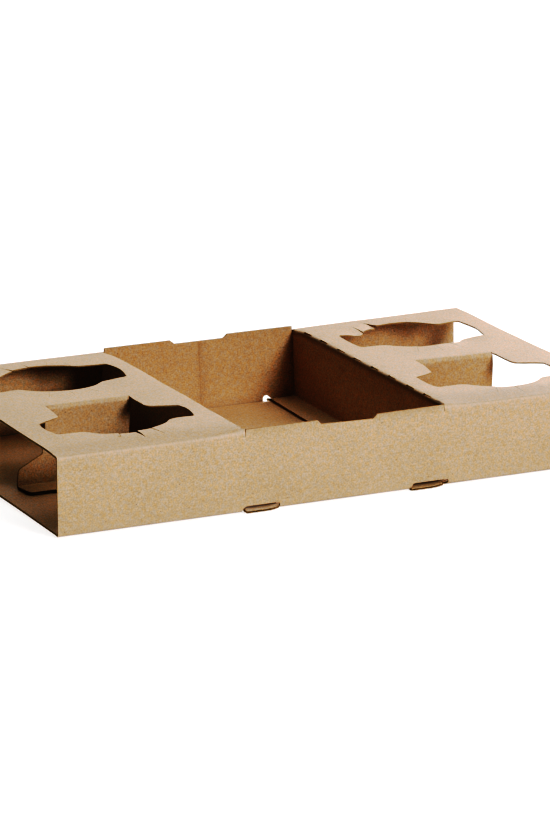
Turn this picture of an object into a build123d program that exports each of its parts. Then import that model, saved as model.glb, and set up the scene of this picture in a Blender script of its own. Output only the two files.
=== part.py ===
"""Cup carrier folded from one sheet of fine-flute corrugated board.

A flat sleeve: floor, front and rear walls and two top panels, open at both
ends.  Between the two top panels is an open compartment.  Its two partitions
are the middle of the top, folded down, with feet that turn inwards on the
floor and lock through slots in the bottom creases.  Each top panel has two
cup holes.  The blank of each front hole stays hinged near the middle of the
panel and is folded down as a divider, with its end lying on the floor as a
foot.  Everything is one sheet, so everything is one solid.

Millimetres.  X runs along the length, Y from front to rear, Z up.
Z = 0 is the level the carrier stands on, the lowest edge of its lock tabs.
"""

import math
import os

from build123d import *

os.makedirs("parts", exist_ok=True)

# ---------------------------------------------------------------- dimensions
T = 1.5  # board thickness
LENGTH = 383.6  # overall, along the flat sleeve
DEPTH = 217.2  # overall, front face to rear face
WALL = 50.0  # underside of the floor to the top panels
STAND = 1.2  # the underside is held this high by the lock tabs
BEND = 0.5  # inside radius of a crease
FREE = 2.0  # how far the walls' free edges stand above the top panels
NOTCH_DEEP = 2.6  # recess in the free edges, which the lock tabs came from
NOTCH_TOP = 41.0  # its width at the free edge
NOTCH_BOTTOM = 35.0  # its width at its bottom

BAY_X = 67.9  # the partitions' compartment side, from the middle
LEAN = 1.3  # how much further out their lower crease is
FOOT_X = 49.0  # free edges of the partitions' feet
FLOOR_GAP = 0.3  # what lies on the floor lies this much above it
SIDE_GAP = 0.6  # between the partitions' ends and the walls

HOLE_X, HOLE_Y = 130.0, 54.0  # centres of the cup holes
CUP_R = 32.9  # their round middle
EAR_X = 48.4  # half length over the two ears
EAR_END = 46.6  # half length at the ears' corners
EAR_Y = 17.3  # half width of the ears
EAR_IN = 11.2  # on a front hole's hinge side their edges slant: half width
EAR_NECK = 18.4  # at the corners, and beside the neck
SHOULDER = 8.0  # concave blend between the round and the ears
EAR_CORNER = 2.5
NECK = 28.0  # half width of the divider's hinge
HINGE_Y = -7.5  # where the dividers fold down
DIVIDER_LEAN = (-1.0, 2.0)  # how far back each one's lower crease is, left, right

SLIT = 0.5  # width of the flex slits round the holes
SLIT_LONG = 12.5
SLIT_U = (0.0, 12.0, -12.0, 25.0, -25.0)  # where they start, along the hole;
# the last two only on the rear holes' rear side

SLOT_X = (45.5, 71.5)  # lock slots, from the middle
SLOT_UP = 3.7  # their top edge, above the underside
SLOT_IN = 4.7  # how far they run into the floor
TAB_X = (49.0, 69.5)  # lock tabs
TAB_OUT = 1.1  # how far they stand out of the walls
TAB_DROP = 4.6  # where they start to slope down, from the outer face

PERF_PITCH = 24.5  # cuts along the partitions' top folds
PERF_LONG = 10.0
PERF_COUNT = 8
PERF_BACK = 1.0  # the panel's edge at a cut, back from the partition's face
PERF_GAP = 0.3  # and above the partition's edge there
SCORE = (0.6, 0.25)  # width and depth of the score line on the rear wall
SCORE_X = 2.0

# ------------------------------------------------------------ derived values
Z0 = STAND  # underside of the floor
ZT = Z0 + WALL  # top panels
ZF = Z0 + T + FLOOR_GAP + T  # upper face of what lies on the floor
ZE = ZT + FREE  # free edges of the walls
OUT = BEND + T  # outside radius of a crease
INNER = DEPTH / 2 - T  # walls' inner faces


# -------------------------------------------------------------------- helpers
def offset_left(points, t):
    """The open polyline shifted to its left by t, with mitred corners."""
    shifted = []
    for i, (x, y) in enumerate(points):
        normals = []
        for a, b in ((i - 1, i), (i, i + 1)):
            if 0 <= a and b < len(points):
                dx, dy = points[b][0] - points[a][0], points[b][1] - points[a][1]
                n = math.hypot(dx, dy)
                normals.append((-dy / n, dx / n))
        mx = sum(n[0] for n in normals)
        my = sum(n[1] for n in normals)
        k = t * len(normals) / (mx * mx + my * my)
        shifted.append((x + mx * k, y + my * k))
    return shifted


def board_section(points):
    """The section of a folded strip of board whose one face follows points
    and whose thickness lies to their left, with rounded creases."""
    face_r, back_r = [], []
    for i in range(1, len(points) - 1):
        (ax, ay), (bx, by), (cx, cy) = points[i - 1 : i + 2]
        left_turn = (bx - ax) * (cy - by) - (by - ay) * (cx - bx) > 0
        face_r.append(OUT if left_turn else BEND)
        back_r.append(BEND if left_turn else OUT)
    back = offset_left(points, T)
    with BuildSketch() as section:
        with BuildLine():
            FilletPolyline(*points, radius=face_r)
            FilletPolyline(*back[::-1], radius=back_r[::-1])
            Line(points[-1], back[-1])
            Line(back[0], points[0])
        make_face()
    return section.sketch


def hole_outline(front):
    """A cup hole centred on the origin: a round with two ears.  A front hole
    has its outer edge towards -y, and the neck of its divider's hinge on the
    other side.  A rear hole has no neck, and is the same both ways."""
    inner = EAR_IN if front else EAR_Y
    neck_top = HOLE_Y + HINGE_Y
    with BuildSketch() as hole:
        Circle(CUP_R)
        if front:  # on the hinge side the neck takes the round's place
            with Locations((0, 50)):
                Rectangle(100, 100, mode=Mode.SUBTRACT)
        with BuildLine():
            if front:
                Polyline(
                    (-EAR_END, inner),
                    (-NECK, EAR_NECK),
                    (NECK, EAR_NECK),
                    (EAR_END, inner),
                )
            else:
                Line((-EAR_END, inner), (EAR_END, inner))
            ThreePointArc((EAR_END, inner), (EAR_X, 0), (EAR_END, -EAR_Y))
            Line((EAR_END, -EAR_Y), (-EAR_END, -EAR_Y))
            ThreePointArc((-EAR_END, -EAR_Y), (-EAR_X, 0), (-EAR_END, inner))
        make_face()
        if front:
            with Locations((0, neck_top / 2)):
                Rectangle(2 * NECK, neck_top)
        ends = hole.vertices().filter_by(lambda v: abs(v.X) > EAR_END - 1)
        fillet(ends, EAR_CORNER)
        # where the round meets the ears
        waist = hole.vertices().filter_by(
            lambda v: 20 < abs(v.X) < 36 and (v.Y < 0 or not front)
        )
        fillet(waist, SHOULDER)
        if front:
            crook = hole.vertices().filter_by(
                lambda v: 20 < abs(v.X) < 36 and 0 < v.Y < neck_top - 5
            )
            fillet(crook, 5.0)
    return hole.sketch


front_hole = hole_outline(True)
rear_hole = hole_outline(False)


# ------------------------------------------------- masks of the two dividers
def divider_mask(x, crease_y):
    """The space that the divider at x may fill: the outline of its own hole,
    turned down about the hinge, and below that laid forward on the floor."""
    s_crease = ZT - ZF
    split = ZF + 6.0
    with BuildPart() as mask:
        with BuildSketch(Plane.XZ):
            with Locations((x, ZT - HINGE_Y - HOLE_Y)):
                add(front_hole)
            with Locations((x, ZT + 10)):
                Rectangle(2 * NECK, 20.2)
        extrude(amount=60, both=True)
        with Locations((x, 0, split - 100)):
            Box(200, 200, 200, mode=Mode.SUBTRACT)
        with BuildSketch(Plane.XY.offset(Z0 + T)):
            with Locations((x, crease_y + s_crease - HINGE_Y - HOLE_Y)):
                add(front_hole)
        extrude(amount=split - Z0 - T)
    return mask.part


# ------------------------------------------------------------- the dividers
dividers = []
for side, lean in ((-1, DIVIDER_LEAN[0]), (1, DIVIDER_LEAN[1])):
    crease_y = HINGE_Y + lean
    with BuildPart() as divider:
        with BuildSketch(Plane.YZ.offset(side * HOLE_X)):
            add(
                board_section(
                    [
                        (HINGE_Y + 5, ZT),
                        (HINGE_Y, ZT),
                        (crease_y, ZF),
                        (crease_y - 60, ZF),
                    ]
                )
            )
        extrude(amount=60, both=True)
        add(divider_mask(side * HOLE_X, crease_y), mode=Mode.INTERSECT)
    dividers.append(divider.part)

# ---------------------------------------------------------------- the carrier
with BuildPart() as cup_carrier:
    # the sleeve: floor, walls and top, with rounded creases
    with BuildSketch(Plane.YZ):
        with Locations((0, Z0 + WALL / 2)):
            RectangleRounded(DEPTH, WALL, OUT)
            RectangleRounded(DEPTH - 2 * T, WALL - 2 * T, BEND, mode=Mode.SUBTRACT)
    extrude(amount=LENGTH / 2, both=True)

    # the compartment is open between the partitions
    with Locations((0, 0, ZT)):
        Box(2 * BAY_X, DEPTH + 2, 8, mode=Mode.SUBTRACT)
        Box(2 * (BAY_X + OUT), 2 * (INNER - SIDE_GAP), 8, mode=Mode.SUBTRACT)

    # the walls' free edges beside it, each with its recess
    for y in (-DEPTH / 2, DEPTH / 2 - T):
        with BuildSketch(Plane.XZ.offset(-y - T)):
            with BuildLine():
                Polyline(
                    (-BAY_X + 0.3, ZT - 5),
                    (BAY_X - 0.3, ZT - 5),
                    (BAY_X - 0.3, ZE),
                    (NOTCH_TOP / 2, ZE),
                    (NOTCH_BOTTOM / 2, ZE - NOTCH_DEEP),
                    (-NOTCH_BOTTOM / 2, ZE - NOTCH_DEEP),
                    (-NOTCH_TOP / 2, ZE),
                    (-BAY_X + 0.3, ZE),
                    close=True,
                )
            make_face()
        extrude(amount=T)

    # a short cut runs down where a free edge meets the fold beside it
    with Locations(
        *[
            (sx * (BAY_X - 0.15), sy * (DEPTH / 2 - T / 2), ZT - 1.25 + 3)
            for sx in (-1, 1)
            for sy in (-1, 1)
        ]
    ):
        Box(0.3, T + 0.4, 2.5 + 6, mode=Mode.SUBTRACT)

    # partitions, folded down from the top and inwards along the floor
    for side in (-1, 1):
        path = [
            (BAY_X + 6, ZT),
            (BAY_X, ZT),
            (BAY_X + LEAN, ZF),
            (FOOT_X, ZF),
        ]
        with BuildSketch(Plane.XZ):
            section = board_section(path)
            add(section if side > 0 else mirror(section, about=Plane.YZ))
        extrude(amount=INNER - SIDE_GAP, both=True)

    # their top folds are cut and creased by turns: at each cut the bend is
    # missing, the panel ends in a square edge a little back from the
    # partition's face, and the partition hangs free below it
    cuts = [
        (sx, (i - (PERF_COUNT - 1) / 2) * PERF_PITCH)
        for sx in (-1, 1)
        for i in range(PERF_COUNT)
    ]
    with Locations(
        *[(sx * (BAY_X + OUT / 2), y, ZT - (T + PERF_GAP) / 2 + 0.5) for sx, y in cuts]
    ):
        Box(OUT + 0.6, PERF_LONG, T + PERF_GAP + 1, mode=Mode.SUBTRACT)
    with Locations(
        *[(sx * (BAY_X + (PERF_BACK + OUT + 0.5) / 2), y, ZT - T / 2) for sx, y in cuts]
    ):
        Box(OUT + 0.5 - PERF_BACK, PERF_LONG, T)

    # cup holes
    with BuildSketch(Plane.XY.offset(ZT - T - 1)):
        for sx in (-1, 1):
            with Locations((sx * HOLE_X, HOLE_Y)):
                add(rear_hole)
            with Locations((sx * HOLE_X, -HOLE_Y)):
                add(front_hole)
    extrude(amount=T + 2, mode=Mode.SUBTRACT)

    # flex slits, square to the round and along Y at the shoulders
    for u in SLIT_U:
        steep = abs(u) > 20
        start = math.sqrt(CUP_R**2 - u**2) if abs(u) < CUP_R else 0
        angle = 0.0 if steep else math.degrees(math.asin(u / CUP_R))
        reach = SLIT_LONG + 2
        for sx in (-1, 1):
            for cy, way in ((HOLE_Y, 1), (HOLE_Y, -1), (-HOLE_Y, -1)):
                if steep and (cy < 0 or way < 0):
                    continue
                a = math.radians(angle)
                mid = reach / 2 - 2
                with BuildSketch(Plane.XY.offset(ZT - T - 1)):
                    with Locations(
                        Location(
                            (
                                sx * HOLE_X + u + math.sin(a) * mid,
                                cy + way * (start + math.cos(a) * mid),
                            ),
                            -way * angle,
                        )
                    ):
                        Rectangle(SLIT, reach)
                extrude(amount=T + 2, mode=Mode.SUBTRACT)

    # the dividers hang from their hinges, whose round bends take the place
    # of the panels' square edges
    with Locations(
        *[(sx * HOLE_X, HINGE_Y + OUT / 2 - 0.5, ZT - T / 2) for sx in (-1, 1)]
    ):
        Box(2 * NECK, OUT + 1, T + 1, mode=Mode.SUBTRACT)
    for divider_part in dividers:
        add(divider_part)

    # lock slots across the bottom creases
    for sx in (-1, 1):
        for sy in (-1, 1):
            with BuildSketch(Plane.XZ.offset(-sy * (DEPTH / 2 - SLOT_IN / 2 + 1))):
                with Locations((sx * sum(SLOT_X) / 2, Z0 + SLOT_UP - 5)):
                    RectangleRounded(SLOT_X[1] - SLOT_X[0], 10, 1.6)
            extrude(amount=SLOT_IN / 2 + 1, both=True, mode=Mode.SUBTRACT)

    # the feet stop short of the walls, except for their lock tabs, which
    # slope down through the slots
    start = DEPTH / 2 - TAB_DROP
    end = DEPTH / 2 + TAB_OUT
    with Locations(
        *[
            (
                sx * (FOOT_X + BAY_X + LEAN - 2) / 2,
                sy * (start + 5),
                ZF - T / 2,
            )
            for sx in (-1, 1)
            for sy in (-1, 1)
        ]
    ):
        Box(BAY_X + LEAN - 2 - FOOT_X + 0.2, 10, T + 0.2, mode=Mode.SUBTRACT)
    for sy in (-1, 1):
        for sx in (-1, 1):
            with BuildSketch(Plane.YZ.offset(sx * sum(TAB_X) / 2)):
                slope = math.atan2(ZF - T, end - start)
                top = [
                    (sy * (start - 1.5), ZF),
                    (sy * start, ZF),
                    (sy * end, T / math.cos(slope)),
                ]
                low = [
                    (sy * end - sy * T * math.sin(slope), 0.0),
                    (sy * (start - T * math.tan(slope / 2)), ZF - T),
                    (sy * (start - 1.5), ZF - T),
                ]
                with BuildLine():
                    Polyline(*top, *low, close=True)
                make_face()
            extrude(amount=(TAB_X[1] - TAB_X[0]) / 2, both=True)
            # the corner next to the crease is cut off at a slant
            with BuildSketch(Plane.XY):
                with BuildLine():
                    Polyline(
                        (sx * TAB_X[1] + sx * 0.2, sy * (end - 2.8)),
                        (sx * TAB_X[1] + sx * 0.2, sy * (end + 1)),
                        (sx * (TAB_X[1] - 3.6), sy * (end + 1)),
                        close=True,
                    )
                make_face()
            extrude(amount=4, mode=Mode.SUBTRACT)

    # the score line down the middle of the rear wall's inner face
    with Locations((SCORE_X, INNER, Z0 + WALL / 2 + 1)):
        Box(SCORE[0], 2 * SCORE[1], WALL + 6, mode=Mode.SUBTRACT)

cup_carrier.part.label = "cup_carrier"
print(
    "solids",
    len(cup_carrier.part.solids()),
    "volume",
    round(cup_carrier.part.volume),
    "box",
    cup_carrier.part.bounding_box(),
)
export_step(cup_carrier.part, "parts/cup_carrier.step")
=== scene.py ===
"""Looks of the folded cup carrier: the whole sheet as real corrugated board, with
liners, flutes in every cut edge, soft folds and bent tongues, and its kraft finish."""

import math

import bpy
import numpy as np
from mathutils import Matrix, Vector
from mathutils.geometry import delaunay_2d_cdt


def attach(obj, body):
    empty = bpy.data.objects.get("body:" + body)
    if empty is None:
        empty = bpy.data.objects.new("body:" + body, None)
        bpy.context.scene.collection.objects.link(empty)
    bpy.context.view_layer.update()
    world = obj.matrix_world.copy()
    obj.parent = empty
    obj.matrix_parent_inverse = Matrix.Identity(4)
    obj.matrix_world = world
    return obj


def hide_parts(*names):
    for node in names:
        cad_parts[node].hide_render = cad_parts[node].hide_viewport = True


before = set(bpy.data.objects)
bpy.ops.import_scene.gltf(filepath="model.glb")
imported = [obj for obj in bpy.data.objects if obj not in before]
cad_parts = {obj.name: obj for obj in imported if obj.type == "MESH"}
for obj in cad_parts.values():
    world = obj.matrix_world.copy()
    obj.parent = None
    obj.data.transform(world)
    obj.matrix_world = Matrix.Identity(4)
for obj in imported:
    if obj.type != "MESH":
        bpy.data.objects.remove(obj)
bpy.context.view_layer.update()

# ------------------------------------------------------------ sizes, millimetres
T = 1.5  # board
LINER = 0.26  # each liner
MEDIUM = 0.2  # the fluted sheet between them
PITCH = 2.4  # flutes
DEEP = 1.7  # how far the open flutes are modelled in from a cut edge
LX, YO = 191.8, 108.6  # half length, half depth
Z0, ZT, ZE, ZF = 1.2, 51.2, 53.2, 4.5
RO, RM = 2.0, 1.25  # outside and middle radius of a crease
RH = 2.1  # middle radius of the dividers' softer hinges
BAY, LEAN, FOOT = 67.9, 1.3, 50.0
HX, HY = 130.0, 54.0  # cup holes
R, EAR_X, EAR_END, EAR_Y, EAR_NECK = 32.9, 48.4, 46.6, 17.3, 18.4
SHOULDER, EAR_CORNER, NECK, CROOK = 8.0, 2.5, 28.0, 5.0
HINGE, LEANS = -7.5, (-1.0, 2.0)
ZM, ZB = ZT - T / 2, Z0 + T / 2  # middle of the top's and the floor's board
TAB0, TAB1 = 104.0, 109.7  # the lock tabs start to slope down, and end

# the sheet's own coordinates: u along the length, v round the sleeve, 0 in the
# middle of the top, both along the board's middle
ARC = RM * math.pi / 2
V1 = YO - RO
V2 = V1 + ARC
V3 = V2 + (ZT - RO) - (Z0 + RO)
V4 = V3 + ARC
V5 = V4 + YO - RO
VEND = 106.5  # the partitions' cuts run up to here
VEDGE = V2 - (ZE - (ZT - RO))  # free edges of the walls
SPLIT = 67.75  # the short cut beside a free edge
SHORT = 1.3  # the front right one sits so much further right
PERF = [(i - 3.5) * 24.5 + d for i, d in enumerate((0.6, -0.4, 0.3, -0.2, 0.5, -0.6, 0.2, -0.3))]
PERF_HALF = 5.0
LIFT = 1.6  # how far the rear crease bows up


# ------------------------------------------------------------------- fold paths
class Path:
    """The middle line of a folded strip: straight runs and round creases."""

    def __init__(self, points, radii):
        p = [np.array(q, float) for q in points]
        self.items = []
        at, s = p[0], 0.0
        for i in range(1, len(p) - 1):
            a = (p[i] - p[i - 1]) / np.linalg.norm(p[i] - p[i - 1])
            b = (p[i + 1] - p[i]) / np.linalg.norm(p[i + 1] - p[i])
            cross = a[0] * b[1] - a[1] * b[0]
            turn = math.atan2(cross, a @ b)
            t = radii[i - 1] * math.tan(abs(turn) / 2)
            start = p[i] - a * t
            run = float(np.linalg.norm(start - at))
            self.items.append(("line", s, s + run, at, a, 0.0))
            s += run
            side = 1 if turn > 0 else -1
            n = np.array([-a[1], a[0]]) * side
            length = radii[i - 1] * abs(turn)
            self.items.append(("arc", s, s + length, start + n * radii[i - 1], n, side / radii[i - 1]))
            s += length
            at = p[i] + b * t
        a = (p[-1] - at) / np.linalg.norm(p[-1] - at)
        run = float(np.linalg.norm(p[-1] - at))
        self.items.append(("line", s, s + run, at, a, 0.0))
        self.length = s + run

    def knots(self):
        return [i[1] for i in self.items] + [self.length]

    def at(self, s):
        """Places and left-hand normals at arc lengths s."""
        s = np.asarray(s, float)
        out, nor = np.zeros(s.shape + (2,)), np.zeros(s.shape + (2,))
        for i, (kind, s0, s1, a, b, k) in enumerate(self.items):
            lo = -1e9 if i == 0 else s0
            hi = 1e9 if i == len(self.items) - 1 else s1
            m = (s >= lo) & (s < hi)
            d = (s[m] - s0)[:, None]
            if kind == "line":
                out[m] = a + b * d
                nor[m] = [-b[1], b[0]]
            else:
                # b points from the start to the centre: turn the spoke
                ang = d[:, 0] * k
                c, w = np.cos(ang), np.sin(ang)
                spoke = -b / abs(k)
                out[m] = a + np.stack([spoke[0] * c - spoke[1] * w, spoke[0] * w + spoke[1] * c], 1)
                tangent = np.array([-spoke[1], spoke[0]]) * abs(k) * np.sign(k)
                tx = tangent[0] * c - tangent[1] * w
                ty = tangent[0] * w + tangent[1] * c
                nor[m] = np.stack([-ty, tx], 1)
        return out, nor


def meet(p, d, q, e):
    """Where the line through p along d meets the one through q along e."""
    m = np.array([[d[0], -e[0]], [d[1], -e[1]]])
    t = np.linalg.solve(m, np.array(q) - np.array(p))
    return np.array(p) + np.array(d) * t[0]


def drop_path(face_x, lean, radius, far):
    """From the top panel, heading -x, down a leg whose face is at face_x and
    whose foot is further out by lean, and on along the floor to far."""
    d = np.array([lean, ZF - ZT])
    d /= np.linalg.norm(d)
    q = np.array([face_x, ZT]) + np.array([-d[1], d[0]]) * T / 2
    c1 = meet(q, d, (0, ZM), (1, 0))
    c2 = meet(q, d, (0, ZF - T / 2), (1, 0))
    turn = math.pi - math.acos(-lean / math.hypot(lean, ZT - ZF))
    t = radius * math.tan(turn / 2)
    start = np.array([c1[0] + t, ZM])
    return Path([start + [0.0, 0.0], c1, c2, (far, ZF - T / 2)], [radius, RM]), start[0]


WALL_PATH, UW = drop_path(BAY, LEAN, RM, FOOT)

# the lock tabs dip through the slots and end level, close to the ground
def tab_profile(start, flat, run, drop):
    """Height over distance and length of a tab that starts at start, stays flat,
    and then comes down by drop over run, out to TAB1."""
    h = np.linspace(0, TAB1 - 0.1 - start, 100)
    t = np.clip((h - flat) / run, 0, 1)
    z = -drop * (3 * t**2 - 2 * t**3)
    return start, h, z, np.concatenate([[0], np.cumsum(np.hypot(np.diff(h), np.diff(z)))])


FRONT_TAB = tab_profile(101.5, 0.0, 3.9, ZF - T - 0.04)
REAR_TAB = tab_profile(TAB0, 2.8, 2.8, 1.6)
FLAPS = []
for lean in LEANS:
    path, start = drop_path(HINGE, lean, RH, HINGE - 60)
    FLAPS.append((path, start))


# ------------------------------------------------------- how the sheet has bent
def wave(u, v):
    """Slight unevenness of the hand-folded sheet."""
    return (
        0.10 * np.sin(u * 0.071 + v * 0.023 + 1.3)
        + 0.08 * np.sin(u * -0.043 + v * 0.094 + 0.4)
        + 0.05 * np.sin(u * 0.151 - v * 0.087 + 2.9)
        + 0.03 * np.sin(u * 0.23 + v * 0.19 + 5.1)
    )


def split(u, v):
    return SPLIT + SHORT * ((np.asarray(u) > 0) & (np.asarray(v) < 0))


def corner_keep(u):
    """Next to the compartment the panels stay up right to the front crease."""
    return np.exp(-np.clip(np.abs(u) - SPLIT, 0, None) / 16.0)


def crown(u, v):
    """How much the top panels rise towards the compartment."""
    t = np.clip((np.abs(u) - UW) / (LX - UW), 0, 1)
    left = np.interp(t, [0, 0.25, 0.6, 0.85, 1.0], [2.45, 2.55, 2.2, 1.6, 0.6])
    right = np.interp(t, [0, 0.25, 0.6, 1.0], [2.15, 1.8, 1.3, 0.4])
    h = np.where(u < 0, left, right)
    d = np.clip(V1 - np.abs(v), 0, None)
    front = 1 - (1 - corner_keep(u)) * np.exp(-((d / (6.0 + 5.0 * t)) ** 1.7))
    wide = np.where(u < 0, 15.0 + 4.0 * t, 11.0 + 4.0 * t)
    rear = 1 - np.exp(-((d / wide) ** 1.7))
    out = h * np.where(v < 0, front, rear)
    return out + field(RISES, u, v) * np.clip(d / 3, 0, 1)


def rear_rise(u, v):
    """The rear wall stands a little taller behind the right panel."""
    a = 0.75 * np.clip((u - SPLIT) / 45, 0, 1) ** 0.7 + 0.55 * np.clip((u - 135) / 50, 0, 1)
    return a * np.interp(v, [0, V1 - 60, V1 - 15, V2, V3 - 4, V5], [0, 0, 1, 1, 0, 0])


# tongues between the flex slits: the hole, its side (+1 rear), the slit on either
# side of the tongue as its u and its extra turn, and how far its rim is bent down
TONGUES = [
    (1, 1, 1, (-26.0, -4), (-12.0, 10), (0.1, 1.4)),
    (1, 1, 1, (-12.0, 10), (40.0, 0), -0.8),
    (1, 1, -1, (-12.0, 0), (12.0, 0), 0.25),
    (-1, 1, 1, (-25.0, 0), (-12.0, 0), 0.8),
    (-1, 1, 1, (-12.0, 0), (0.0, 0), 0.3),
    (-1, -1, -1, (-11.5, 10), (-0.5, 8), 0.5),
    (-1, -1, -1, (-0.5, 8), (10.4, 3), (-0.3, 0.1)),
    (1, -1, -1, (-12.0, 0), (0.0, 0), 0.2),
]


def slit_way(u, swing):
    """The angle of a flex slit to the v axis, and its start's distance."""
    ang = math.asin(max(-1.0, min(1.0, u / R)))
    return (0.0 if abs(u) > 20 else ang) + math.radians(swing), R * math.cos(ang)


def tongues(u, v):
    out = np.zeros(np.shape(u))
    for sx, sy, way, e0, e1, amp in TONGUES:
        low, high = amp if isinstance(amp, tuple) else (amp, amp)
        x, y = u - sx * HX, (v - sy * HY) * way
        r = np.hypot(x, y)
        f = np.clip(1 - (r - R) / 13.0, 0, 1)
        inside = (np.abs(v) < V1) & (y > 0) & (r < R + 14)
        for (edge, swing), more in ((e0, 1), (e1, -1)):
            aim, y0 = slit_way(edge, swing)
            inside &= (x - edge - math.tan(aim) * (y - y0)) * more > 0
        amp = low + (high - low) * np.clip((x - e0[0]) / (e1[0] - e0[0]), 0, 1)
        out = np.where(inside, out - amp * f**2, out)
    # the rear right hole's left ear: its rear edge curls down
    x, y = u - HX, v - HY
    f = np.clip((30.0 - y) / 12.7, 0, 1) * np.clip((x + 47) / 15, 0, 1)
    m = (x < -25) & (y > 10) & (y < 30) & (x > -47)
    return np.where(m, out - 1.6 * f**2, out)


def skew(u, v):
    """The right end's rear corner sits a little short, the left end's front wall
    a little long."""
    a = np.clip((u - 160.0) / (LX - 160.0), 0, 1)
    b = np.clip((-u - 165.0) / (LX - 165.0), 0, 1)
    right = np.interp(v, [30, V1, V2 + 4, V3 - 4, V4, V5], [0, -0.9, -2.9, -2.6, -0.8, 0])
    left = np.interp(-v, [V1 - 8, V2, V3, V4 + 4], [0, 0.55, 0.55, 0])
    return a * right - b * left


def sag(u, v):
    """The front crease lies a little low, the rear one bows up in the middle."""
    a = np.abs(v)
    low = -0.42 * np.interp(a, [V3 - 22, V3, V4, V4 + 60], [0, 1, 1, 0])
    up = LIFT * np.interp(a, [V3 - 25, V3, V4, V4 + 85], [0, 1, 1, 0])
    up = up * np.interp(np.abs(u), [0, 80, 150], [1, 1, 0])
    return np.where(v < 0, low, up)


def place(k, u, v):
    """Middle of the board, in the row frame, for sheet coordinates. k is 0 for
    the sleeve, 1 and 2 for the partitions, 3 and 4 for the dividers."""
    u, v = np.asarray(u, float), np.asarray(v, float)
    a, s = np.abs(v), np.where(v < 0, -1.0, 1.0)
    n = wave(u, v)
    if k == 0:
        y, z = v.copy(), np.full(v.shape, ZM)
        ny, nz = np.zeros(v.shape), np.ones(v.shape)
        th = (a - V1) / RM
        m = (a > V1) & (a <= V2)
        y[m], z[m] = (s * (V1 + RM * np.sin(th)))[m], (ZT - RO + RM * np.cos(th))[m]
        ny[m], nz[m] = (s * np.sin(th))[m], np.cos(th)[m]
        m = (a > V2) & (a <= V3)
        m |= (np.abs(u) < split(u, v)) & (a <= V2)
        y[m], z[m] = (s * (YO - T / 2))[m], (ZT - RO - (a - V2))[m]
        ny[m], nz[m] = s[m], 0
        m = (a > V3) & (a <= V4)
        th = (a - V3) / RM
        y[m], z[m] = (s * (V1 + RM * np.cos(th)))[m], (Z0 + RO - RM * np.sin(th))[m]
        ny[m], nz[m] = (s * np.cos(th))[m], (-np.sin(th))[m]
        m = a > V4
        y[m], z[m] = (s * (V1 - (a - V4)))[m], ZB
        ny[m], nz[m] = 0, -1
        top = (a < V1) & (np.abs(u) > split(u, v))
        calm = np.interp(a, [0, V3 - 12, V3, V5], [1, 1, 0.0, 0.0])
        calm = calm * np.interp(a, [V1 - 8, V1, V2, V2 + 8], [1, 0.25, 0.25, 1])
        y, z = y + ny * n * calm, z + nz * n * calm
        z = np.where(top, z + crown(u, v) + tongues(u, v), z) + rear_rise(u, v)
        # the crease is taller there, and comes down to the wall within its round
        tall = np.where(u < 0, 2.45, 2.15) * corner_keep(u) * (np.abs(u) > split(u, v)) * (v < 0)
        z = z + tall * np.interp(a, [V1 - 1e-6, V1, V2, V2 + 0.5], [0, 1, 0.3, 0])
        z = z + sag(u, v)
        return np.stack([u + skew(u, v), y, z], -1)
    if k in (1, 2):
        side = -1.0 if k == 1 else 1.0
        down = UW - side * u
        p, nor = WALL_PATH.at(down)
        x, z = p[..., 0], p[..., 1]
        share = np.clip((z - (ZF - T / 2)) / (ZM - (ZF - T / 2)), 0, 1)
        # a heading of -x with left-hand normals has them pointing down
        x, z = x - nor[..., 0] * n * share, z - nor[..., 1] * n * share
        z = z + crown(np.full(u.shape, UW) * side, v) * share
        on_foot = np.clip((down - WALL_PATH.knots()[4] + 0.2) / 1.2, 0, 1)
        start = np.where(v < 0, FRONT_TAB[0], REAR_TAB[0])
        over = np.clip(a - start, 0, None) * on_foot
        far = np.where(v < 0, np.interp(over, FRONT_TAB[3], FRONT_TAB[1]), np.interp(over, REAR_TAB[3], REAR_TAB[1]))
        y = s * (a - over + far)
        z = z + np.where(v < 0, np.interp(over, FRONT_TAB[3], FRONT_TAB[2]), np.interp(over, REAR_TAB[3], REAR_TAB[2]))
        z = z + LIFT * np.interp(v, [V1 - 85, V1], [0, 1]) * (1 - share)
        # the front tabs' right-hand ends stay a little higher
        x = x * side
        end = np.clip((x + 53) / 7, 0, 1) if k == 1 else np.clip((x - 59) / 9.5, 0, 1)
        z = z + np.where(v < 0, 1.1 * end**2, 0) * np.clip((over - 2) / 4, 0, 1)
        return np.stack([x, y, z], -1)
    path, start = FLAPS[k - 3]
    p, nor = path.at(start - v)
    y, z = p[..., 0], p[..., 1]
    share = np.clip((z - (ZF - T / 2)) / (ZM - (ZF - T / 2)), 0, 1)
    y, z = y - nor[..., 0] * n * share, z - nor[..., 1] * n * share
    z = z + crown(u, np.full(v.shape, start)) * share
    last = path.knots()[4]
    z = z + np.clip(start - v - last - 6, 0, None) * (0.035, 0.02)[k - 3]
    return np.stack([u, y, z], -1)


def normal(k, u, v):
    """Outer liner's normal, from the bent sheet itself."""
    e = 0.02
    du = place(k, u + e, v) - place(k, u - e, v)
    dv = place(k, u, v + e) - place(k, u, v - e)
    n = np.cross(du, dv)
    return n / np.linalg.norm(n, axis=-1, keepdims=True)


# ----------------------------------------------------------- outlines of the cuts
def arc(cx, cy, r, a0, a1, step=1.3):
    n = max(2, int(math.ceil(abs(math.radians(a1 - a0)) * r / step)))
    a = np.radians(np.linspace(a0, a1, n + 1))
    return np.stack([cx + r * np.cos(a), cy + r * np.sin(a)], 1)


def line(p, q, step=3.0):
    p, q = np.array(p, float), np.array(q, float)
    n = max(1, int(math.ceil(np.linalg.norm(q - p) / step)))
    return p + (q - p) * np.linspace(0, 1, n + 1)[:, None]


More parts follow.
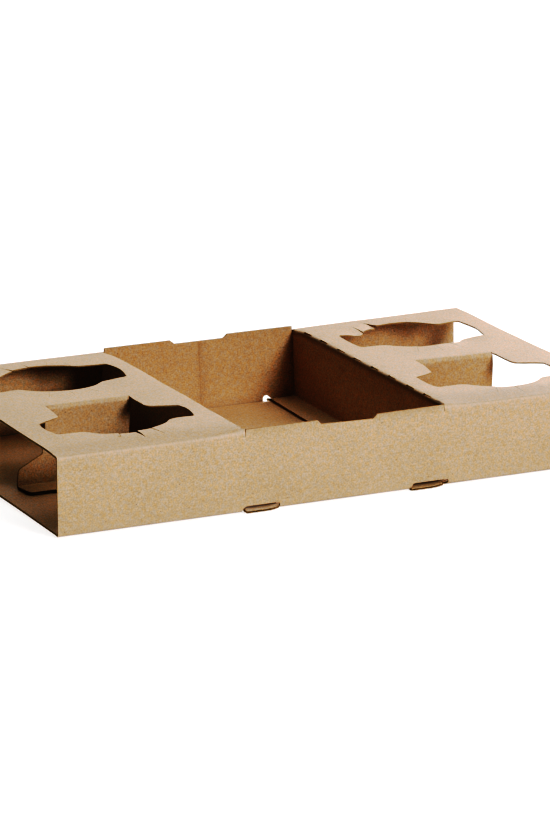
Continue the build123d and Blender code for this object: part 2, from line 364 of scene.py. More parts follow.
def chain(*parts):
    out = []
    for part in parts:
        for p in np.asarray(part, float):
            if not out or np.hypot(*(out[-1] - p)) > 1e-3:
                out.append(p)
    return np.array(out)


def ear_circle(up, low):
    """Centre and radius of the ear's round end."""
    (x1, y1), (x2, y2), (x3, y3) = (EAR_END, up), (EAR_X, 0.0), (EAR_END, -low)
    m = np.array([[x2 - x1, y2 - y1], [x3 - x2, y3 - y2]]) * 2
    c = np.linalg.solve(m, [x2**2 - x1**2 + y2**2 - y1**2, x3**2 - x2**2 + y3**2 - y2**2])
    return c[0], c[1], math.hypot(x1 - c[0], y1 - c[1])


def shoulder(e):
    """Where the ear's edge at height e starts to round into the hole's rim."""
    sx = math.sqrt((R + SHOULDER) ** 2 - (e + SHOULDER) ** 2)
    return sx, math.degrees(math.atan2(e + SHOULDER, sx))


def half_outline(front, neck_top, up, low, neck=NECK, crook=CROOK, up_neck=EAR_NECK, hinge=NECK):
    """Right half of a cup hole, from its top to its bottom, about its centre."""
    ex, ey, er = ear_circle(up, low)
    fx_lo = ex + math.sqrt((er - EAR_CORNER) ** 2 - (-low + EAR_CORNER - ey) ** 2)
    a_lo = math.degrees(math.atan2(-low + EAR_CORNER - ey, fx_lo - ex))
    # the ear's upper edge, from near the neck or the rim to its rounded corner
    near = np.array([neck, up_neck] if front else [0.0, up])
    e = np.array([EAR_END, up]) - near
    e /= np.linalg.norm(e)
    into = np.array([e[1], -e[0]])
    q = near + into * EAR_CORNER - (ex, ey)
    along = -(q @ e) + math.sqrt((q @ e) ** 2 - q @ q + (er - EAR_CORNER) ** 2)
    far = near + e * along
    c_up = far + into * EAR_CORNER
    a_edge = math.degrees(math.atan2(-into[1], -into[0]))
    a_up = math.degrees(math.atan2(c_up[1] - ey, c_up[0] - ex))
    parts = []
    if front:
        # the neck's side, down to a rounded crook with the ear's edge
        top = np.array([hinge, neck_top])
        d = (near - top) / np.linalg.norm(near - top)
        n = np.array([-d[1], d[0]])
        turn = math.acos(float(d @ e))
        t = crook * math.tan(turn / 2)
        mid = near - d * t + n * crook
        a0 = math.degrees(math.atan2(-n[1], -n[0])) % 360
        parts += [
            line(top, near - d * t),
            arc(mid[0], mid[1], crook, a0, a0 + math.degrees(turn), 0.8),
            line(near + e * t, far),
        ]
    else:
        sx, phi = shoulder(up)
        parts += [
            arc(0, 0, R, 90, phi),
            arc(sx, up + SHOULDER, SHOULDER, 180 + phi, 270),
            line((sx, up), far),
        ]
    sx, phi = shoulder(low)
    parts += [
        arc(c_up[0], c_up[1], EAR_CORNER, a_edge, a_up, 0.6),
        arc(ex, ey, er, a_up, a_lo),
        arc(fx_lo, -low + EAR_CORNER, EAR_CORNER, a_lo, -90, 0.6),
        line((fx_lo, -low), (sx, -low)),
        arc(sx, -low - SHOULDER, SHOULDER, 90, 180 - phi),
        arc(0, 0, R, -phi, -90),
    ]
    return chain(*parts)


# small differences between the holes as cut and bent: rear and front half widths
# of the ears, and on a front hole the corner between neck and ear: its half
# width, its radius and how far up it is, and then the hinge's half width
EARS = {
    (-1, -1, 1): (12.8, 16.0, 28.8, 5.0, 19.4, 30.1),
    (-1, -1, -1): (11.4, 16.2, 30.4, 2.0, 19.6, 27.0),
    (1, -1, 1): (11.2, 18.6, 27.5, 5.0, 18.8, 27.3),
    (1, -1, -1): (11.2, 17.2, 32.3, 2.4, 19.2, 28.8),
    (-1, 1, 1): (18.0, 19.5),
    (-1, 1, -1): (EAR_Y, EAR_Y),
    (1, 1, 1): (19.0, 19.0),
    (1, 1, -1): (16.8, 16.5),
}
# where the outlines stray from that: u, v, and the shift along u and v; and
# where the top stands higher or lower: u, v, and the lift
SPREAD = 8.0
NUDGES = [
    (-100, -10, 0.1, 0.0), (-101, -28, -0.3, 0.2), (-98, -36, 0.0, 0.1), (-90, -39, 0.2, -0.1),
    (-82, -42, 0.6, 0.1), (-81, -51, 0.7, 0.1), (-82, -59, 0.2, 0.2), (-84, -68, -0.6, 0.6),
    (-93, -69, -0.2, 0.5), (-101, -71, 0.3, 0.1), (-107, -77, 0.0, 0.2), (-114, -82, -0.3, 0.7),
    (-122, -85, -0.3, 0.5), (-131, -86, 0.0, 0.4), (-139, -85, 0.0, 0.4),
    (-147, -82, 0.0, -0.1), (-154, -76, 0.3, 0.0), (-160, -70, 0.3, 0.0), (-169, -70, 0.6, 0.0),
    (-176, -66, 0.9, 0.2), (-177, -57, 0.5, 0.1), (-177, -49, 0.5, 0.4), (-174, -41, 0.1, 0.4),
    (-166, -37, 0.1, 0.2), (-159, -31, 0.2, 0.2), (-158, -22, 0.3, 0.0), (-158, -13, 0.3, 0.0),
    (-130, 87, 0.2, -0.2), (-121, 85, 0.1, -0.1), (-113, 82, -0.1, -0.1), (-99, 72, 0.1, 0.2),
    (-90, 72, 0.1, -0.2), (-82, 69, 0.3, 0.0), (-80, 61, 0.9, 0.0), (-80, 52, 0.9, 0.0),
    (-81, 44, 0.2, 0.2), (-84, 36, -0.3, 0.5), (-101, 33, 0.6, -0.8), (-108, 28, 0.3, -0.6),
    (-116, 24, 0.1, -0.2), (-133, 21, 0.0, 0.1), (-141, 23, 0.0, 0.2), (-155, 33, 0.0, 0.4),
    (-158, 72, 0.2, -0.2), (-152, 78, 0.3, -0.3), (-145, 83, 0.2, 0.0), (158, -10, 0.5, 0.0),
    (160, -36, 0.2, 0.0), (175, -43, -0.5, 0.2), (177, -52, -1.0, 0.0), (177, -60, -0.4, 0.0),
    (161, -73, -0.1, -0.2), (153, -77, -0.2, -0.1), (138, -86, -0.1, -0.1),
    (130, -87, -0.1, 0.0), (107, -77, 0.0, 0.1), (82, -61, 0.2, 0.0), (82, -52, 0.3, 0.2),
    (83, -44, -0.4, 0.3), (91, -39, -0.2, -0.2), (98, -35, 0.2, -0.3), (100, -26, 0.6, -0.1),
    (101, -17, 0.5, -0.1), (130, 86, 0.1, -0.4), (139, 85, 0.0, -0.1), (147, 82, -0.1, -0.2),
    (153, 77, 0.1, -0.4), (161, 73, 0.0, -0.4), (170, 74, -0.7, 0.8), (176, 68, -1.1, 0.8),
    (178, 51, 0.4, 0.0), (176, 43, -1.2, 0.7), (170, 36, -1.4, 0.8), (161, 35, -0.2, -0.2),
    (154, 31, 0.3, -0.6), (147, 26, 0.3, -0.1), (139, 23, -0.1, 0.6), (130, 22, 0.0, 0.3),
    (122, 23, 0.1, 0.3), (113, 26, 0.1, 0.2), (91, 37, 0.4, -0.2), (84, 42, 0.6, -0.1),
    (83, 50, 0.5, 0.0), (83, 59, 0.7, 0.0), (84, 68, 0.4, 0.0), (92, 71, 0.1, 0.0),
    (122, 85, 0.0, -0.4),
]
RISES = [
    (-100, -10, -0.7), (-101, -19, -0.2), (-98, -36, 0.1), (-82, -42, 0.1), (-84, -68, 0.2),
    (-93, -69, 0.5), (-101, -71, 0.2), (-107, -77, 0.3), (-114, -82, 0.6), (-122, -85, 0.4),
    (-131, -86, 0.3), (-139, -85, 0.4), (-147, -82, -0.1), (-154, -76, 0.1), (-169, -70, 0.2),
    (-176, -66, 0.3), (-177, -49, 0.2), (-174, -41, 0.3), (-166, -37, 0.2), (-159, -31, 0.3),
    (-158, -22, 0.2), (-158, -13, 0.1), (-113, 82, -0.2), (-99, 72, 0.2), (-90, 72, -0.2),
    (-80, 61, 0.1), (-84, 36, 0.2), (-101, 33, -0.5), (-108, 28, -0.4), (-116, 24, -0.2),
    (-133, 21, 0.1), (-141, 23, 0.2), (-155, 33, 0.5), (-158, 72, -0.2), (-152, 78, -0.2),
    (158, -10, -0.1), (158, -19, -0.1), (160, -36, 0.1), (177, -52, -0.3), (177, -60, -0.1),
    (161, -73, -0.3), (153, -77, -0.3), (147, -82, -0.1), (138, -86, -0.1), (107, -77, 0.1),
    (82, -52, 0.2), (91, -39, -0.4), (98, -35, -0.3), (100, -26, 0.1), (130, 86, -0.4),
    (139, 85, -0.1), (147, 82, -0.3), (153, 77, -0.4), (161, 73, -0.6), (170, 74, 0.4),
    (176, 68, 0.1), (178, 51, 0.1), (161, 35, -0.4), (154, 31, -0.7), (147, 26, -0.1),
    (139, 23, 0.9), (130, 22, 0.5), (122, 23, 0.4), (113, 26, 0.3), (107, 31, 0.2),
    (84, 42, 0.1), (83, 59, 0.2), (84, 68, 0.1), (92, 71, 0.1), (122, 85, -0.4),
]


def field(table, u, v):
    """Sum of round bumps; the table has u, v and then their heights."""
    out = np.zeros(np.shape(u))
    for u0, v0, h in table:
        out = out + h * np.exp(-((u - u0) ** 2 + (v - v0) ** 2) / (2 * SPREAD**2))
    return out


def nudge(loop):
    """The outline as it was really cut and bent."""
    out = np.array(loop, float)
    calm = np.clip((-8.0 - out[:, 1]) / 6, 0, 1) + (out[:, 1] > 0)
    for i in (2, 3):
        shift = field([(n[0], n[1], n[i]) for n in NUDGES], loop[:, 0], loop[:, 1])
        out[:, i - 2] += shift * calm
    return out


def hole_loop(sx, sy):
    """The outline of one hole in sheet coordinates, and for a front hole the
    points along its divider's hinge."""
    front = sy < 0
    start = FLAPS[0 if sx < 0 else 1][1]
    right = half_outline(front, start + HY, *EARS[(sx, sy, 1)])
    left = half_outline(front, start + HY, *EARS[(sx, sy, -1)])[::-1] * [-1, 1]
    if front:
        ends = EARS[(sx, sy, -1)][5], EARS[(sx, sy, 1)][5]
        weld = line((-ends[0], start + HY), (ends[1], start + HY), 3.5)
        loop = chain(right, left[1:], weld[1:-1])
    else:
        loop = chain(right, left[1:-1])
        weld = None
    c = np.array([sx * HX, sy * HY])
    return nudge(loop + c), (weld + c if front else None)


def with_slit(loop, start, end, mouth, tip=0.1):
    """The loop with a tapering slit let into it."""
    start, end = np.array(start, float), np.array(end, float)
    closed = np.vstack([loop, loop[:1]])
    seg = np.linalg.norm(np.diff(closed, axis=0), axis=1)
    s = np.concatenate([[0], np.cumsum(seg)])
    total = s[-1]
    d = closed[1:] - closed[:-1]
    t = np.clip(((start - closed[:-1]) * d).sum(1) / np.maximum(seg, 1e-9) ** 2, 0, 1)
    near = closed[:-1] + d * t[:, None]
    i = int(np.argmin(np.linalg.norm(near - start, axis=1)))
    here = s[i] + seg[i] * t[i]
    end = end + near[i] - start
    start = near[i]

    def point(q):
        q = q % total
        j = min(int(np.searchsorted(s, q, side="right")) - 1, len(seg) - 1)
        return closed[j] + d[j] * (q - s[j]) / seg[j]

    a, b = point(here - mouth / 2), point(here + mouth / 2)
    along = end - start
    perp = np.array([-along[1], along[0]]) / np.linalg.norm(along)
    if (a - start) @ perp < 0:
        perp = -perp
    ts = np.linspace(0, 1, 6)[1:]
    width = mouth / 2 * (1 - ts) ** 0.8 + tip / 2 * ts
    side_a = [start + along * q + perp * w for q, w in zip(ts, width)]
    side_b = [start + along * q - perp * w for q, w in zip(ts, width)][::-1]
    beyond = end + along / np.linalg.norm(along) * tip
    gap = mouth / 2 + 0.25
    off = (s[:-1] - here + total / 2) % total - total / 2
    order = np.argsort(off)
    keep = [loop[j] for j in order if abs(off[j]) > gap]
    before = [loop[j] for j in order if off[j] < -gap]
    after = [loop[j] for j in order if off[j] > gap]
    assert len(keep) == len(before) + len(after)
    return np.array(after + before + [a] + side_a + [beyond] + side_b + [b])


def slit_at(sx, sy, way, u, long, mouth, swing=0.0):
    """Start and end of a flex slit: u along the hole from its centre, on the
    side way, and swing the extra turn of its direction in degrees."""
    aim, y0 = slit_way(u, swing)
    start = np.array([sx * HX + u, sy * HY + way * y0])
    return start, start + long * np.array([math.sin(aim), way * math.cos(aim)]), mouth


SLITS = {
    (-1, -1): [(-1, -0.5, 10.5, 1.15, 8), (-1, 10.4, 11.5, 0.7, 3), (-1, -11.5, 6.5, 0.8, 10)],
    (1, -1): [(-1, 0.0, 12.0, 0.16, 0), (-1, 12.0, 12.0, 0.16, 0), (-1, -12.0, 12.5, 0.3, 0)],
    (-1, 1): [
        (1, 0.0, 12.0, 0.16, 0),
        (1, 12.0, 12.0, 0.16, 0),
        (1, -12.0, 11.5, 0.35, 0),
        (1, 25.0, 12.0, 0.16, 0),
        (1, -25.0, 12.0, 0.35, 0),
        (-1, 0.0, 12.0, 0.16, 0),
        (-1, 12.0, 12.5, 0.2, 0),
        (-1, -12.0, 12.5, 0.2, 0),
    ],
    (1, 1): [
        (1, 0.0, 12.0, 0.2, 0),
        (1, 12.0, 12.0, 0.2, 0),
        (1, -12.0, 17.0, 0.9, 10),
        (1, 25.0, 12.0, 0.2, 0),
        (1, -26.0, 15.5, 1.3, -4),
        (-1, 0.0, 12.0, 0.16, 0),
        (-1, 12.0, 12.0, 0.16, 0),
        (-1, -12.0, 12.0, 0.3, 0),
    ],
}

ROWS = 7  # a crease is modelled in so many steps
top_rows = np.linspace(V1, V2, ROWS + 1)
low_rows = np.linspace(V3, V4, ROWS + 1)


fold_rows = np.linspace(WALL_PATH.knots()[1], WALL_PATH.knots()[2], ROWS + 1)
NOTCH_W = float(fold_rows[-4])  # the partition's own edge at a cut


def perf_line(side, panel):
    """Points from front to rear along a partition's top fold, on the panel's
    side or the partition's."""
    out = []
    at = -VEND
    steps = [] if panel else [UW - w for w in fold_rows[1:-4]]
    for c in PERF + [None]:
        end = VEND if c is None else c - PERF_HALF
        out += [(side * UW, p[1]) for p in line((0, at), (0, end), 4.0)]
        if c is None:
            break
        off = BAY + (1.5 if side < 0 else 1.15) if panel else (UW - NOTCH_W)
        out += [(side * q, c - PERF_HALF) for q in steps]
        out += [(side * off, q) for q in np.linspace(c - PERF_HALF, c + PERF_HALF, 5)]
        out += [(side * q, c + PERF_HALF) for q in steps[::-1]]
        at = c + PERF_HALF
    return out


def bay_loop():
    """Outline of everything that isn't sleeve between the top panels."""

    def corner(sx, sy):
        rows = [r for r in top_rows if VEND < r < 108.9]
        more = SHORT if sx > 0 > sy else 0.0
        at = BAY + more
        pts = [(sx * UW, sy * VEND), (sx * at, sy * VEND)]
        pts += [(sx * at, sy * r) for r in rows if r > VEND + 0.05]
        at, low = 67.6 + more, VEDGE + (0.55 if more else 0)
        pts += [(sx * (BAY + more), sy * 108.95), (sx * (SPLIT + more), sy * 109.1), (sx * at, sy * 108.95)]
        return pts + [(sx * at, sy * low)]

    def free(sy, way):
        """The free edge with its recess, from -way to way."""
        deep = VEDGE + 2.6
        pts = [(-67.6, VEDGE), (-20.6, VEDGE), (-17.6, deep), (17.6, deep), (20.6, VEDGE), (67.6, VEDGE)]
        if sy < 0:
            pts = [(-67.6, VEDGE), (-18.8, VEDGE + 0.1), (-16.2, deep + 0.2), (19.2, deep + 1.0)]
            pts += [(22.2, VEDGE + 0.9), (67.6 + SHORT, VEDGE + 0.55)]
        out = chain(*[line(a, b, 4.0) for a, b in zip(pts, pts[1:])]) * [1, sy]
        return out if way > 0 else out[::-1]

    left = perf_line(-1, True)
    right = perf_line(1, True)[::-1]
    return chain(
        left,
        corner(-1, 1),
        free(1, 1),
        corner(1, 1)[::-1],
        right,
        corner(1, -1),
        free(-1, -1),
        corner(-1, -1)[::-1][:-1],
    )


def slot_loop(sx, sy):
    """One lock slot, with rounded corners, across a bottom crease. In the
    picture's sense, its left-hand upper corner is the rounder one."""
    tall, deep = (3.7, 7.6) if sy < 0 else (5.5, 3.4)
    a0, a1 = V2 + (ZT - RO) - (Z0 + tall), V4 + (YO - RO) - (YO - deep)
    x0, x1 = (-70.0, -44.6) if sx < 0 else (46.4, 72.4)
    r, r_up = 1.5, ((3.6 if sx < 0 else 2.9) if sy < 0 else 2.0)
    drop = 0.0 if sy < 0 else 2.9
    # at the front right the floor's part of the slot is a little shorter
    less = 2.4 if sy < 0 < sx else 0.0
    x2 = x1 - less
    right = [(x1, min(a0 + drop + r, V3 - 0.05)), (x1, V3)] + [(x1 - less * i / ROWS, q) for i, q in enumerate(low_rows[1:], 1)] + [(x2, a1 - r)]
    left = [(x0, a1 - r)] + [(x0, q) for q in low_rows[::-1]] + [(x0, a0 + r_up)]
    loop = chain(
        right,
        arc(x2 - r, a1 - r, r, 0, 90, 0.6),
        line((x2 - r, a1), (x0 + r, a1)),
        arc(x0 + r, a1 - r, r, 90, 180, 0.6),
        left,
        arc(x0 + r_up, a0 + r_up, r_up, 180, 270, 0.6),
        line((x0 + r_up, a0), (x1 - r, a0)) if sy < 0 else np.array([(x0 + 3.4, a0), (x0 + 6.4, a0 + drop), (x1 - r, a0 + drop)]),
        arc(x1 - r, a0 + drop + r, r, 270, 360, 0.6)[:-1],
    )
    return loop * [1, sy]


# -------------------------------------------------------- flat meshes, then bent
def inside(loops, pts):
    """Even-odd test of points against closed loops."""
    hit = np.zeros(len(pts), int)
    for loop in loops:
        a, b = loop, np.roll(loop, -1, 0)
        for s in range(0, len(pts), 4000):
            x, y = pts[s : s + 4000, 0][:, None], pts[s : s + 4000, 1][:, None]
            cross = (a[None, :, 1] > y) != (b[None, :, 1] > y)
            with np.errstate(divide="ignore", invalid="ignore"):
                at = a[:, 0] + (y - a[:, 1]) * (b[:, 0] - a[:, 0]) / (b[:, 1] - a[:, 1])
            hit[s : s + 4000] += (cross & (x < at)).sum(1)
    return hit % 2 == 1


class Flat:
    """One part of the sheet, flat: its points, and its triangles."""

    def __init__(self):
        self.index, self.points, self.edges = {}, [], set()

    def add(self, p):
        key = (round(float(p[0]), 3), round(float(p[1]), 3))
        if key not in self.index:
            self.index[key] = len(self.points)
            self.points.append((float(p[0]), float(p[1])))
        return self.index[key]

    def run(self, pts, closed=False):
        ids = [self.add(p) for p in pts]
        if closed:
            ids.append(ids[0])
        for a, b in zip(ids, ids[1:]):
            if a != b:
                self.edges.add((min(a, b), max(a, b)))

    def grid(self, loops, xs, ys, clear, fine=None):
        g = np.array([(x, y) for x in xs for y in ys])
        g = g[inside(loops, g)]
        fixed = np.array(self.points)
        keep = []
        for s in range(0, len(g), 1500):
            d = np.sqrt(((g[s : s + 1500, None] - fixed[None]) ** 2).sum(2)).min(1)
            keep.append(d > clear)
        for p in g[np.concatenate(keep)]:
            self.add(p)

    def triangles(self, loops):
        verts = [Vector(p) for p in self.points]
        out, _, faces, origin, _, _ = delaunay_2d_cdt(verts, sorted(self.edges), [], 0, 1e-5)
        to = [o[0] if o else -1 for o in origin]
        if min(to) < 0:
            where = [tuple(round(c, 2) for c in out[i]) for i, o in enumerate(to) if o < 0]
            raise ValueError(f"two cuts of the sheet cross at {where[:8]}")
        tri = np.array([[to[i] for i in f] for f in faces if len(f) == 3])
        pts = np.array(self.points)
        mid = pts[tri].mean(1)
        tri = tri[inside(loops, mid)]
        a, b, c = (pts[tri[:, i]] for i in range(3))
        area = (b[:, 0] - a[:, 0]) * (c[:, 1] - a[:, 1]) - (b[:, 1] - a[:, 1]) * (c[:, 0] - a[:, 0])
        tri = tri[np.abs(area) > 1e-7]
        area = area[np.abs(area) > 1e-7]
        tri[area < 0] = tri[area < 0][:, ::-1]
        return pts, tri


def smooth_noise(p, seed):
    """A small repeatable wander, meant for cut edges; nothing calls it."""
    x, y = p[:, 0], p[:, 1]
    return np.sin(x * 1.7 + y * 1.1 + seed) * 0.5 + np.sin(x * 0.6 - y * 0.9 + 2 * seed) * 0.5


parts = []  # (k, points, triangles)

# the sleeve
flat, loops = Flat(), []
end_v = sorted(
    set(np.round(np.concatenate([top_rows, low_rows, -top_rows, -low_rows]), 4))
    | set(np.round(np.linspace(-V1, V1, 55), 4))
    | set(np.round(np.linspace(V2, V3, 13), 4))
    | set(np.round(-np.linspace(V2, V3, 13), 4))
    | set(np.round(np.linspace(V4, V5, 28), 4))
    | set(np.round(-np.linspace(V4, V5, 28), 4))
)
seam_u = np.linspace(-LX, LX, 65)
outer = chain(
    [(-LX, v) for v in end_v],
    [(u, V5) for u in seam_u],
    [(LX, v) for v in end_v[::-1]],
    [(u, -V5) for u in seam_u[::-1]][:-1],
)
loops.append(outer)
loops.append(bay_loop())
hinges = {}
for sx in (-1, 1):
    for sy in (-1, 1):
        loop, weld = hole_loop(sx, sy)
        if weld is not None:
            hinges[sx] = (loop, weld)
        for way, u, long, mouth, swing in SLITS[(sx, sy)]:
            a, b, m = slit_at(sx, sy, way, u, long, mouth, swing)
            loop = with_slit(loop, a, b, m)
        loops.append(loop)
        loops.append(slot_loop(sx, sy))
for loop in loops:
    flat.run(loop, closed=True)
cols = np.linspace(LX, BAY, 22)
for row in top_rows:
    for sx in (-1, 1):
        for sy in (-1, 1):
            ends = np.concatenate([cols[:-1], [BAY + (SHORT if sx > 0 > sy else 0.0)]])
            flat.run([(sx * u, sy * row) for u in ends])
score = [0.3, 0.8, 1.3]
for i, row in enumerate(low_rows):
    for sy in (-1, 1):
        us = sorted(set(np.round(np.linspace(-LX, LX, 65), 4)) | set(score))
        for lo, hi in ((-LX, -70.0), (-44.6, 46.4), (72.4 - (2.4 * i / ROWS if sy < 0 else 0.0), LX)):
            us_in = [lo] + [u for u in us if lo + 0.8 < u < hi - 0.8] + [hi]
            flat.run([(u, sy * row) for u in us_in])
for u in score:
    flat.run([(u, v) for v in np.linspace(VEDGE + 3.2, V3, 17)])
flat.grid(loops, np.arange(-190, 191, 5.0), np.concatenate([np.arange(-104, 105, 4.0)]), 1.9)
flat.grid(loops, np.arange(-189, 190, 6.0), np.concatenate([s * np.arange(112, 154, 6.0) for s in (-1, 1)]), 2.5)
flat.grid(loops, np.arange(-188, 189, 8.0), np.concatenate([s * np.arange(162, 262, 8.0) for s in (-1, 1)]), 3.0)
parts.append((0, *flat.triangles(loops)))

# the partitions, with their feet and lock tabs
knots = WALL_PATH.knots()
bend1 = fold_rows
bend2 = np.linspace(knots[3], knots[4], ROWS + 1)
foot_end = WALL_PATH.length


def foot_w(x):
    """Distance down the partition's middle to where its foot is at x."""
    return foot_end - (x - FOOT)


for k, side in ((1, -1), (2, 1)):
    flat = Flat()
    top = perf_line(side, False)
    edge_rows = [w for w in bend1[1:]] + list(np.linspace(knots[2], knots[3], 12)[1:]) + [w for w in bend2[1:-2]]
    free_rear, free_front = (foot_w(50.0), foot_w(50.0)) if side < 0 else (foot_w(51.0), foot_w(49.6))

    def end(sy, far):
        pts = [(side * (UW - w), sy * (106.2 if w > 0.6 else VEND - 0.15)) for w in edge_rows]
        w_in = edge_rows[-1]
        t0 = (FRONT_TAB if sy < 0 else REAR_TAB)[0]
        tab_tip = t0 + float((FRONT_TAB if sy < 0 else REAR_TAB)[3][-1])
        pts += [(side * (UW - w_in), sy * (t0 + 1.0)), (side * (UW - foot_w(68.5)), sy * (t0 + 0.4))]
        x_in = (45.2 if side < 0 else 45.8) if sy < 0 else 50.0
        pts += [
            (side * (UW - foot_w(68.6)), sy * (t0 + 2.6)),
            (side * (UW - foot_w(68.3)), sy * (tab_tip - 1.2)),
            (side * (UW - foot_w(67.2)), sy * tab_tip),
            (side * (UW - foot_w(x_in + 0.8)), sy * tab_tip),
            (side * (UW - foot_w(x_in)), sy * (tab_tip - 0.8)),
            (side * (UW - foot_w(x_in)), sy * (t0 + 1.2)),
            (side * (UW - far), sy * t0),
        ]
        return pts

    rear, front = end(1, free_rear), end(-1, free_front)
    tip_rear = chain(*[line(a, b, 3.0) for a, b in zip(rear, rear[1:])])
    tip_front = chain(*[line(a, b, 3.0) for a, b in zip(front, front[1:])])
    foot_edge = line(rear[-1], front[-1], 4.0)
    loop = chain(top, tip_rear, foot_edge[1:-1], tip_front[::-1])
    if np.hypot(*(loop[0] - loop[-1])) < 1e-3:
        loop = loop[:-1]
    flat.run(loop, closed=True)
    gaps = [-106.2] + [c + d for c in PERF for d in (-PERF_HALF, PERF_HALF)] + [106.2]
    for w in bend1[1:-4]:
        far_ = VEND - 0.15 if w <= 0.6 else 106.2
        for lo, hi in zip([-far_] + gaps[2:-1:2], gaps[1:-1:2] + [far_]):
            flat.run([(side * (UW - w), q) for q in np.linspace(lo, hi, 4)])
    whole = sorted([-106.2, 106.2] + [q for c in PERF for q in np.linspace(c - PERF_HALF, c + PERF_HALF, 5)] + [c + 8.5 for c in PERF])
    for w in list(bend1[-4:]) + list(bend2[:-2]):
        flat.run([(side * (UW - w), v) for v in whole])
    for w in bend2[-2:]:
        flat.run([(side * (UW - w), v) for v in np.linspace(-101.4, 104, 52)])
    flat.grid([loop], side * (UW - np.linspace(knots[2] + 3, knots[3] - 3, 11)), np.linspace(-103, 103, 42), 1.8)
    flat.grid([loop], side * (UW - np.linspace(knots[4] + 2.5, foot_end - 2, 5)), np.linspace(-108.5, 108.5, 56), 1.2)
    parts.append((k, *flat.triangles([loop])))

# the dividers
for k, sx in ((3, -1), (4, 1)):
    path, start = FLAPS[k - 3]
    loop, weld = hinges[sx]
    flat = Flat()
    flat.run(loop, closed=True)
    kn = path.knots()
    for s in list(np.linspace(kn[1], kn[2], 9)[1:]) + list(np.linspace(kn[3], kn[4], 8)):
        v = start - s
        # each row runs from side to side of the outline
        xs = []
        for a, b in zip(loop, np.roll(loop, -1, 0)):
            if (a[1] - v) * (b[1] - v) < 0:
                xs.append(a[0] + (b[0] - a[0]) * (v - a[1]) / (b[1] - a[1]))
        lo, hi = min(xs), max(xs)
        flat.run([(u, v) for u in np.linspace(lo + 0.9, hi - 0.9, 18)])
    flat.grid([loop], np.arange(sx * HX - 48, sx * HX + 49, 4.0), np.arange(start - 86, start - 5, 4.0), 1.8)
    parts.append((k, *flat.triangles([loop])))

# join the parts: points that they share at folds are one
keys, P, N, UV, K = {}, [], [], [], []
tris, tri_uv = [], []
for k, pts, tri in parts:
    pos, nor = place(k, pts[:, 0], pts[:, 1]), normal(k, pts[:, 0], pts[:, 1])
    used = np.unique(tri)
    to = {}
    for i in used:
        u, v = pts[i]
        shared = None
        if abs(abs(u) - UW) < 2e-3 and abs(v) < VEND + 1e-3:
            shared = ("fold", round(u, 2), round(v, 2))
        elif abs(abs(v) - V5) < 1e-3:
            shared = ("seam", round(u, 2))
        elif any(abs(v - FLAPS[0 if sx < 0 else 1][1]) < 2e-3 and abs(u - sx * HX) < 31.5 and u * sx > 0 for sx in (-1, 1)):
            shared = ("hinge", round(u, 2), round(v, 2))
        if shared is not None and shared in keys:
            to[i] = keys[shared]
            continue
        to[i] = len(P)
        if shared is not None:
            keys[shared] = len(P)
        P.append(pos[i])
        N.append(nor[i])
        UV.append((u, v))
        K.append(k)
    for t in tri:
        tris.append([to[i] for i in t])
        tri_uv.append([(k, *pts[i]) for i in t])
P, N, UV, K = np.array(P), np.array(N), np.array(UV), np.array(K)
tris, tri_uv = np.array(tris), np.array(tri_uv)
n0 = len(P)

# free edges of the whole sheet
directed = {}
for t, (a, b, c) in enumerate(tris):
    for i, (p, q) in enumerate(((a, b), (b, c), (c, a))):
        directed[(p, q)] = (t, i)
rim = {}
for (a, b), (t, i) in directed.items():
    if (b, a) not in directed:
        if a in rim:
            raise ValueError(f"two edges leave one point at {K[a]} {UV[a]}")
        rim[a] = (b, t, i)
rims, seen = [], set()
for a in list(rim):
    if a in seen:
        continue
    ring = []
    while a not in seen:
        seen.add(a)
        ring.append(a)
        a = rim[a][0]
    rims.append(ring)

# inward direction in the sheet at every free point
base = np.zeros((n0, 3))  # k, u, v that the point's own rows are measured from
inward = np.zeros((n0, 2))
reach = np.full(n0, DEEP)
for ring in rims:
    m = len(ring)
    en, et, ek, ea = [], [], [], []
    for a in ring:
        b, t, i = rim[a]
        ka, ua, va = tri_uv[t][i]
        _, ub, vb = tri_uv[t][(i + 1) % 3]
        _, uc, vc = tri_uv[t][(i + 2) % 3]
        e = np.array([ub - ua, vb - va])
        e /= np.linalg.norm(e)
        q = np.array([-e[1], e[0]])
        if q @ np.array([uc - ua, vc - va]) < 0:
            q = -q
        en.append(q)
        et.append(e)
        ek.append((ka, ua, va))
    for j, a in enumerate(ring):
        p, q = en[j - 1], en[j]
        s = p + q
        kin, kout = ek[j - 1][0], ek[j][0]
        if np.linalg.norm(s) < 0.35:
            inward[a] = et[j - 1]
            kk = 0 if 0 in (kin, kout) else kout
            base[a] = (kk, UV[a][0], UV[a][1]) if K[a] == kk else ek[j]
        else:
            s /= np.linalg.norm(s)
            inward[a] = s / max(0.75, s @ q)
            base[a] = ek[j]
            if kin != kout and 0 in (kin, kout):
                base[a] = (0, ek[j][1], ek[j][2])
on_rim = np.array(sorted(seen))

